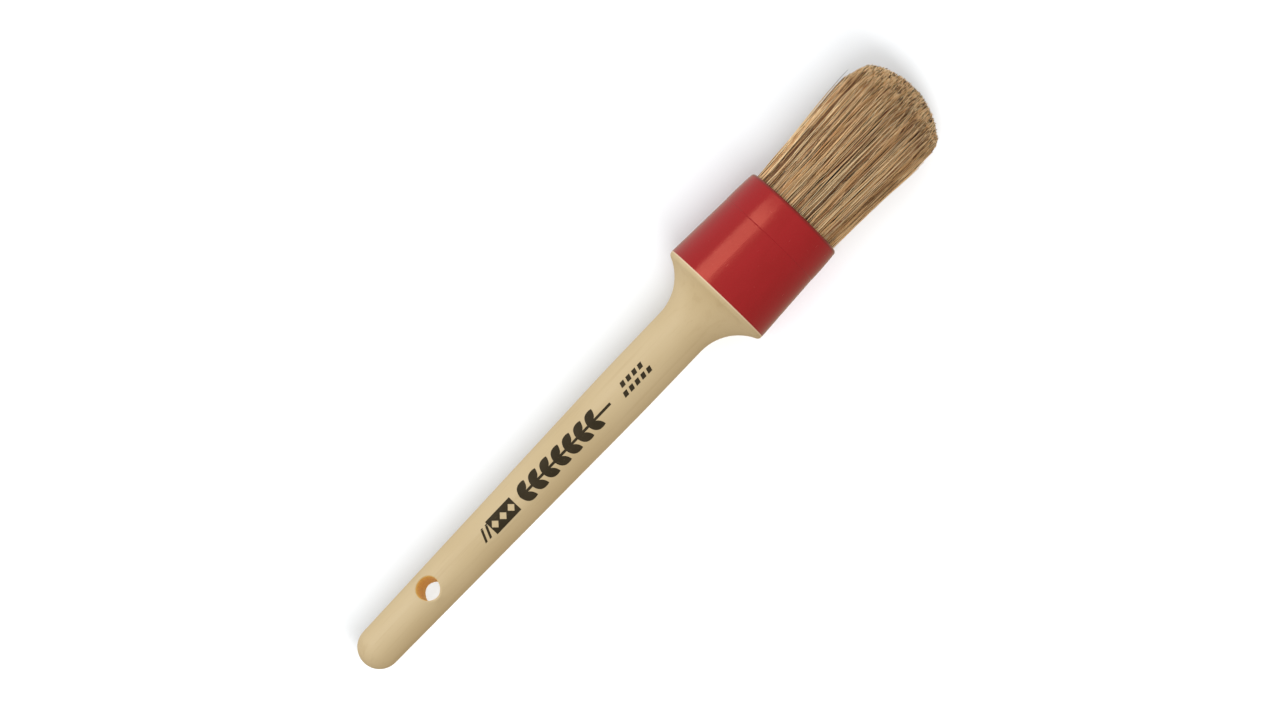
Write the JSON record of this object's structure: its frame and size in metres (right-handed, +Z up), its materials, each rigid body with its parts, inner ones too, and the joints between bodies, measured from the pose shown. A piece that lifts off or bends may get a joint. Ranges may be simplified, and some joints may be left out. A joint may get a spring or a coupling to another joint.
{
  "type": "round paint brush",
  "caption": "Round brush with a turned pale wooden handle, a red moulded ferrule and a long domed natural-bristle tuft.",
  "frame": {"origin": "on the surface the brush lies on, under the middle of its length", "axes": "+X along the brush's axis towards the bristle's tip, +Z up along the hanging hole's axis, +Y to the left of +X"},
  "size_m": [0.26, 0.0404, 0.0405],
  "materials": {
    "lacquered_wood": "satin",
    "glue": "satin",
    "ferrule_plastic": "satin",
    "band_rubber": "matte",
    "resin": "gloss",
    "plug_plastic": "satin",
    "bristle": "matte",
    "print_ink": "satin"
  },
  "bodies": {
    "root": {"handle": "lacquered_wood", "tenon_glue": "glue", "ferrule": "ferrule_plastic", "knot_band": "band_rubber", "knot_resin": "resin", "core_plug": "plug_plastic", "bristle_tuft": "bristle"}
  },
  "joints": []
}
